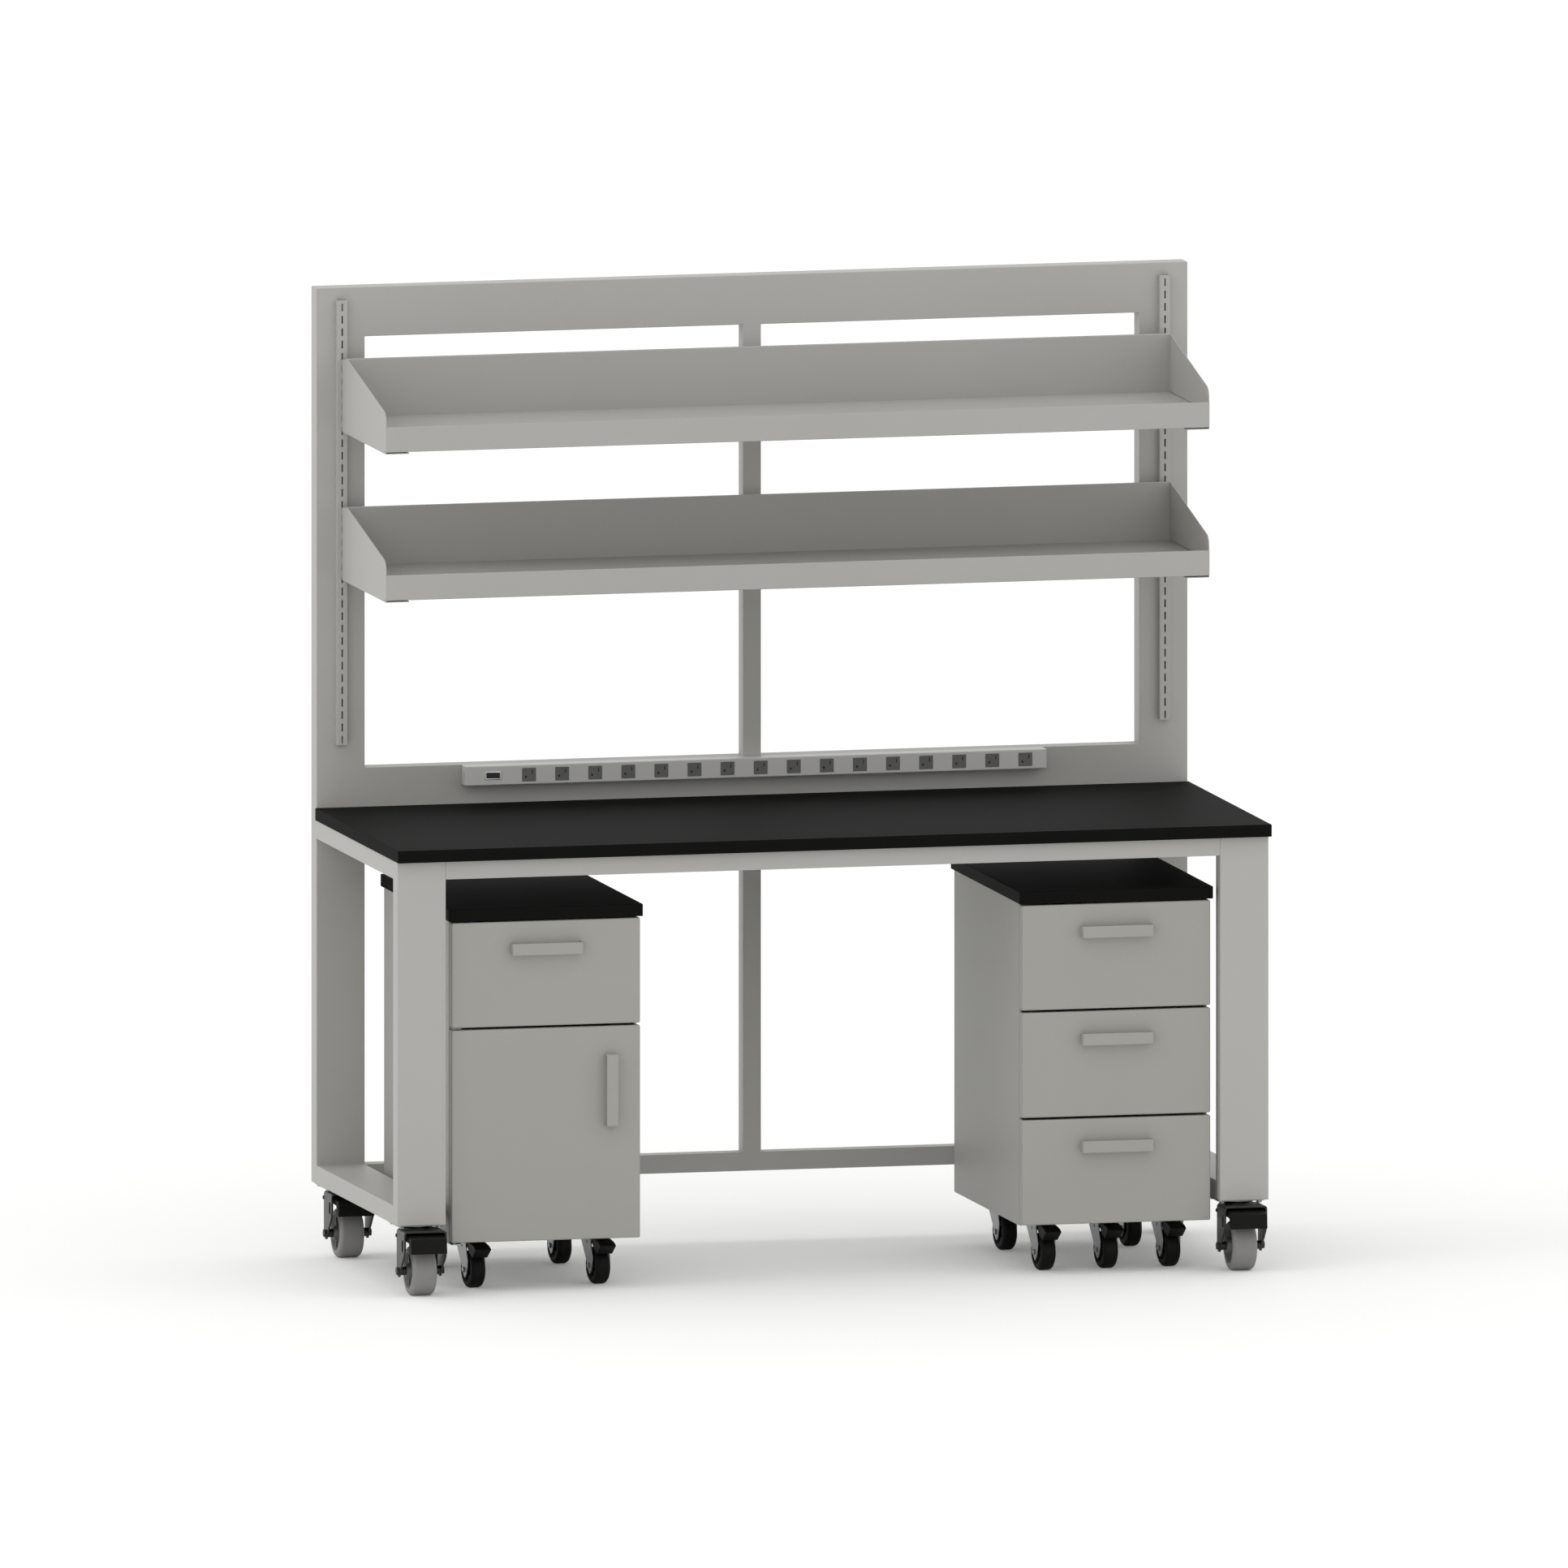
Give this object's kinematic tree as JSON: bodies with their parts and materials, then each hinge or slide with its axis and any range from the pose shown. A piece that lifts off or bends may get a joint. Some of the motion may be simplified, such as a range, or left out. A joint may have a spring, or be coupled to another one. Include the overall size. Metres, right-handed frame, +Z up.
{
  "type": "lab bench with reagent shelf",
  "caption": "Mobile laboratory bench: black worktop on a steel frame with adjustable reagent shelves, a power rail, drawer and door pedestals, all on swivel casters.",
  "frame": {"origin": "centre of the bench's footprint, on the floor under the wheels", "axes": "+X to the right across the bench, front and drawers towards -Y, +Z up"},
  "size_m": [1.8346, 0.8014, 1.988],
  "materials": {
    "frame_paint": "satin powder coat",
    "shelf_paint": "satin powder coat",
    "pedestal_paint": "satin powder coat",
    "worktop_resin": "low sheen phenolic resin",
    "rail_aluminium": "satin painted extrusion",
    "outlet_plastic": "moulded",
    "switch_plastic": "moulded",
    "zinc_steel": "zinc plated",
    "grey_tread": "moulded grey tread",
    "black_tread": "moulded black tread",
    "pedal_black": "moulded"
  },
  "bodies": {
    "bench": {"rear_frame": "frame_paint", "base_frame": "frame_paint", "worktop": "worktop_resin", "shelf_standards": "frame_paint", "frame_fasteners": "zinc_steel", "power_rail_housing": "rail_aluminium", "power_outlets": "outlet_plastic", "bench_caster_plates": "zinc_steel"},
    "bench_fork_fl": {"bench_fork_fl": "zinc_steel"},
    "bench_wheel_fl": {"bench_wheel_fl": "grey_tread"},
    "bench_pedal_fl": {"bench_pedal_fl": "pedal_black"},
    "bench_fork_fr": {"bench_fork_fr": "zinc_steel"},
    "bench_wheel_fr": {"bench_wheel_fr": "grey_tread"},
    "bench_pedal_fr": {"bench_pedal_fr": "pedal_black"},
    "bench_fork_rl": {"bench_fork_rl": "zinc_steel"},
    "bench_wheel_rl": {"bench_wheel_rl": "grey_tread"},
    "bench_pedal_rl": {"bench_pedal_rl": "pedal_black"},
    "bench_fork_rr": {"bench_fork_rr": "zinc_steel"},
    "bench_wheel_rr": {"bench_wheel_rr": "grey_tread"},
    "bench_pedal_rr": {"bench_pedal_rr": "pedal_black"},
    "upper_shelf": {"upper_shelf_tray": "shelf_paint", "upper_shelf_brackets": "shelf_paint"},
    "lower_shelf": {"lower_shelf_tray": "shelf_paint", "lower_shelf_brackets": "shelf_paint"},
    "power_switch": {"power_switch": "switch_plastic"},
    "left_pedestal": {"left_carcass": "pedestal_paint", "left_top": "worktop_resin", "left_fittings": "zinc_steel"},
    "right_pedestal": {"right_carcass": "pedestal_paint", "right_top": "worktop_resin", "right_fittings": "zinc_steel"},
    "left_drawer": {"left_drawer": "pedestal_paint"},
    "right_drawer_1": {"right_drawer_1": "pedestal_paint"},
    "right_drawer_2": {"right_drawer_2": "pedestal_paint"},
    "right_drawer_3": {"right_drawer_3": "pedestal_paint"},
    "left_door": {"left_door": "pedestal_paint"},
    "left_fork_fl": {"left_fork_fl": "zinc_steel"},
    "left_wheel_fl": {"left_wheel_fl": "black_tread"},
    "left_pedal_fl": {"left_pedal_fl": "pedal_black"},
    "left_fork_fr": {"left_fork_fr": "zinc_steel"},
    "left_wheel_fr": {"left_wheel_fr": "black_tread"},
    "left_pedal_fr": {"left_pedal_fr": "pedal_black"},
    "left_fork_rl": {"left_fork_rl": "zinc_steel"},
    "left_wheel_rl": {"left_wheel_rl": "black_tread"},
    "left_fork_rr": {"left_fork_rr": "zinc_steel"},
    "left_wheel_rr": {"left_wheel_rr": "black_tread"},
    "right_fork_fl": {"right_fork_fl": "zinc_steel"},
    "right_wheel_fl": {"right_wheel_fl": "black_tread"},
    "right_pedal_fl": {"right_pedal_fl": "pedal_black"},
    "right_fork_fr": {"right_fork_fr": "zinc_steel"},
    "right_wheel_fr": {"right_wheel_fr": "black_tread"},
    "right_pedal_fr": {"right_pedal_fr": "pedal_black"},
    "right_fork_rl": {"right_fork_rl": "zinc_steel"},
    "right_wheel_rl": {"right_wheel_rl": "black_tread"},
    "right_fork_rr": {"right_fork_rr": "zinc_steel"},
    "right_wheel_rr": {"right_wheel_rr": "black_tread"},
    "right_fork_fm": {"right_fork_fm": "zinc_steel"},
    "right_wheel_fm": {"right_wheel_fm": "black_tread"},
    "right_pedal_fm": {"right_pedal_fm": "pedal_black"}
  },
  "joints": [
    {"name": "bench_swivel_fl", "type": "hinge", "parent": "bench", "child": "bench_fork_fl", "pos_m": [-0.861, -0.28373, 0.14], "axis": [0, 0, 1], "range_deg": [-190, 5]},
    {"name": "bench_roll_fl", "type": "hinge", "parent": "bench_fork_fl", "child": "bench_wheel_fl", "pos_m": [-0.861, -0.31872, 0.0508], "axis": [1, 0, 0], "continuous": true},
    {"name": "bench_brake_fl", "type": "hinge", "parent": "bench_fork_fl", "child": "bench_pedal_fl", "pos_m": [-0.861, -0.29973, 0.122], "axis": [1, 0, 0], "range_deg": [0, 10]},
    {"name": "bench_swivel_fr", "type": "hinge", "parent": "bench", "child": "bench_fork_fr", "pos_m": [0.861, -0.28373, 0.14], "axis": [0, 0, 1], "range_deg": [-5, 190]},
    {"name": "bench_roll_fr", "type": "hinge", "parent": "bench_fork_fr", "child": "bench_wheel_fr", "pos_m": [0.861, -0.31872, 0.0508], "axis": [1, 0, 0], "continuous": true},
    {"name": "bench_brake_fr", "type": "hinge", "parent": "bench_fork_fr", "child": "bench_pedal_fr", "pos_m": [0.861, -0.29973, 0.122], "axis": [1, 0, 0], "range_deg": [0, 10]},
    {"name": "bench_swivel_rl", "type": "hinge", "parent": "bench", "child": "bench_fork_rl", "pos_m": [-0.861, 0.34527, 0.14], "axis": [0, 0, 1], "range_deg": [-295, 10]},
    {"name": "bench_roll_rl", "type": "hinge", "parent": "bench_fork_rl", "child": "bench_wheel_rl", "pos_m": [-0.861, 0.31028, 0.0508], "axis": [1, 0, 0], "continuous": true},
    {"name": "bench_brake_rl", "type": "hinge", "parent": "bench_fork_rl", "child": "bench_pedal_rl", "pos_m": [-0.861, 0.32927, 0.122], "axis": [1, 0, 0], "range_deg": [0, 10]},
    {"name": "bench_swivel_rr", "type": "hinge", "parent": "bench", "child": "bench_fork_rr", "pos_m": [0.861, 0.34527, 0.14], "axis": [0, 0, 1], "range_deg": [-10, 295]},
    {"name": "bench_roll_rr", "type": "hinge", "parent": "bench_fork_rr", "child": "bench_wheel_rr", "pos_m": [0.861, 0.31028, 0.0508], "axis": [1, 0, 0], "continuous": true},
    {"name": "bench_brake_rr", "type": "hinge", "parent": "bench_fork_rr", "child": "bench_pedal_rr", "pos_m": [0.861, 0.32927, 0.122], "axis": [1, 0, 0], "range_deg": [0, 10]},
    {"name": "upper_shelf_lift", "type": "slide", "parent": "bench", "child": "upper_shelf", "axis": [0, 0, 1], "range_m": [0, 0.006]},
    {"name": "lower_shelf_lift", "type": "slide", "parent": "bench", "child": "lower_shelf", "axis": [0, 0, 1], "range_m": [0, 0.006]},
    {"name": "power_switch_rock", "type": "hinge", "parent": "bench", "child": "power_switch", "pos_m": [-0.5526, 0.32227, 0.9795], "axis": [0, 0, 1], "range_deg": [0, 9]},
    {"name": "left_pedestal_pull", "type": "slide", "parent": "bench", "child": "left_pedestal", "axis": [0, -1, 0], "range_m": [0, 0.6]},
    {"name": "right_pedestal_pull", "type": "slide", "parent": "bench", "child": "right_pedestal", "axis": [0, -1, 0], "range_m": [0, 0.6]},
    {"name": "left_drawer_slide", "type": "slide", "parent": "left_pedestal", "child": "left_drawer", "axis": [0, -1, 0], "range_m": [0, 0.4]},
    {"name": "right_drawer_1_slide", "type": "slide", "parent": "right_pedestal", "child": "right_drawer_1", "axis": [0, -1, 0], "range_m": [0, 0.4]},
    {"name": "right_drawer_2_slide", "type": "slide", "parent": "right_pedestal", "child": "right_drawer_2", "axis": [0, -1, 0], "range_m": [0, 0.4]},
    {"name": "right_drawer_3_slide", "type": "slide", "parent": "right_pedestal", "child": "right_drawer_3", "axis": [0, -1, 0], "range_m": [0, 0.4]},
    {"name": "left_door_hinge", "type": "hinge", "parent": "left_pedestal", "child": "left_door", "pos_m": [-0.7885, -0.31372, 0.3241], "axis": [0, 0, -1], "range_deg": [0, 95]},
    {"name": "left_swivel_fl", "type": "hinge", "parent": "left_pedestal", "child": "left_fork_fl", "pos_m": [-0.7295, -0.18873, 0.096], "axis": [0, 0, 1], "continuous": true},
    {"name": "left_roll_fl", "type": "hinge", "parent": "left_fork_fl", "child": "left_wheel_fl", "pos_m": [-0.72595, -0.22254, 0.0381], "axis": [0.9945, 0.1045, 0], "continuous": true},
    {"name": "left_brake_fl", "type": "hinge", "parent": "left_fork_fl", "child": "left_pedal_fl", "pos_m": [-0.72741, -0.20861, 0.0855], "axis": [0.9945, 0.1045, 0], "range_deg": [0, 12]},
    {"name": "left_swivel_fr", "type": "hinge", "parent": "left_pedestal", "child": "left_fork_fr", "pos_m": [-0.4675, -0.18873, 0.096], "axis": [0, 0, 1], "continuous": true},
    {"name": "left_roll_fr", "type": "hinge", "parent": "left_fork_fr", "child": "left_wheel_fr", "pos_m": [-0.46395, -0.22254, 0.0381], "axis": [0.9945, 0.1045, 0], "continuous": true},
    {"name": "left_brake_fr", "type": "hinge", "parent": "left_fork_fr", "child": "left_pedal_fr", "pos_m": [-0.46541, -0.20861, 0.0855], "axis": [0.9945, 0.1045, 0], "range_deg": [0, 12]},
    {"name": "left_swivel_rl", "type": "hinge", "parent": "left_pedestal", "child": "left_fork_rl", "pos_m": [-0.7295, 0.14427, 0.096], "axis": [0, 0, 1], "continuous": true},
    {"name": "left_roll_rl", "type": "hinge", "parent": "left_fork_rl", "child": "left_wheel_rl", "pos_m": [-0.72595, 0.11046, 0.0381], "axis": [0.9945, 0.1045, 0], "continuous": true},
    {"name": "left_swivel_rr", "type": "hinge", "parent": "left_pedestal", "child": "left_fork_rr", "pos_m": [-0.4675, 0.14427, 0.096], "axis": [0, 0, 1], "continuous": true},
    {"name": "left_roll_rr", "type": "hinge", "parent": "left_fork_rr", "child": "left_wheel_rr", "pos_m": [-0.46395, 0.11046, 0.0381], "axis": [0.9945, 0.1045, 0], "continuous": true},
    {"name": "right_swivel_fl", "type": "hinge", "parent": "right_pedestal", "child": "right_fork_fl", "pos_m": [0.4675, -0.18873, 0.096], "axis": [0, 0, 1], "continuous": true},
    {"name": "right_roll_fl", "type": "hinge", "parent": "right_fork_fl", "child": "right_wheel_fl", "pos_m": [0.47105, -0.22254, 0.0381], "axis": [0.9945, 0.1045, 0], "continuous": true},
    {"name": "right_brake_fl", "type": "hinge", "parent": "right_fork_fl", "child": "right_pedal_fl", "pos_m": [0.46959, -0.20861, 0.0855], "axis": [0.9945, 0.1045, 0], "range_deg": [0, 12]},
    {"name": "right_swivel_fr", "type": "hinge", "parent": "right_pedestal", "child": "right_fork_fr", "pos_m": [0.7295, -0.18873, 0.096], "axis": [0, 0, 1], "continuous": true},
    {"name": "right_roll_fr", "type": "hinge", "parent": "right_fork_fr", "child": "right_wheel_fr", "pos_m": [0.73305, -0.22254, 0.0381], "axis": [0.9945, 0.1045, 0], "continuous": true},
    {"name": "right_brake_fr", "type": "hinge", "parent": "right_fork_fr", "child": "right_pedal_fr", "pos_m": [0.73159, -0.20861, 0.0855], "axis": [0.9945, 0.1045, 0], "range_deg": [0, 12]},
    {"name": "right_swivel_rl", "type": "hinge", "parent": "right_pedestal", "child": "right_fork_rl", "pos_m": [0.4675, 0.14427, 0.096], "axis": [0, 0, 1], "continuous": true},
    {"name": "right_roll_rl", "type": "hinge", "parent": "right_fork_rl", "child": "right_wheel_rl", "pos_m": [0.47105, 0.11046, 0.0381], "axis": [0.9945, 0.1045, 0], "continuous": true},
    {"name": "right_swivel_rr", "type": "hinge", "parent": "right_pedestal", "child": "right_fork_rr", "pos_m": [0.7295, 0.14427, 0.096], "axis": [0, 0, 1], "continuous": true},
    {"name": "right_roll_rr", "type": "hinge", "parent": "right_fork_rr", "child": "right_wheel_rr", "pos_m": [0.73305, 0.11046, 0.0381], "axis": [0.9945, 0.1045, 0], "continuous": true},
    {"name": "right_swivel_fm", "type": "hinge", "parent": "right_pedestal", "child": "right_fork_fm", "pos_m": [0.5985, -0.18873, 0.096], "axis": [0, 0, 1], "continuous": true},
    {"name": "right_roll_fm", "type": "hinge", "parent": "right_fork_fm", "child": "right_wheel_fm", "pos_m": [0.60205, -0.22254, 0.0381], "axis": [0.9945, 0.1045, 0], "continuous": true},
    {"name": "right_brake_fm", "type": "hinge", "parent": "right_fork_fm", "child": "right_pedal_fm", "pos_m": [0.60059, -0.20861, 0.0855], "axis": [0.9945, 0.1045, 0], "range_deg": [0, 12]}
  ]
}
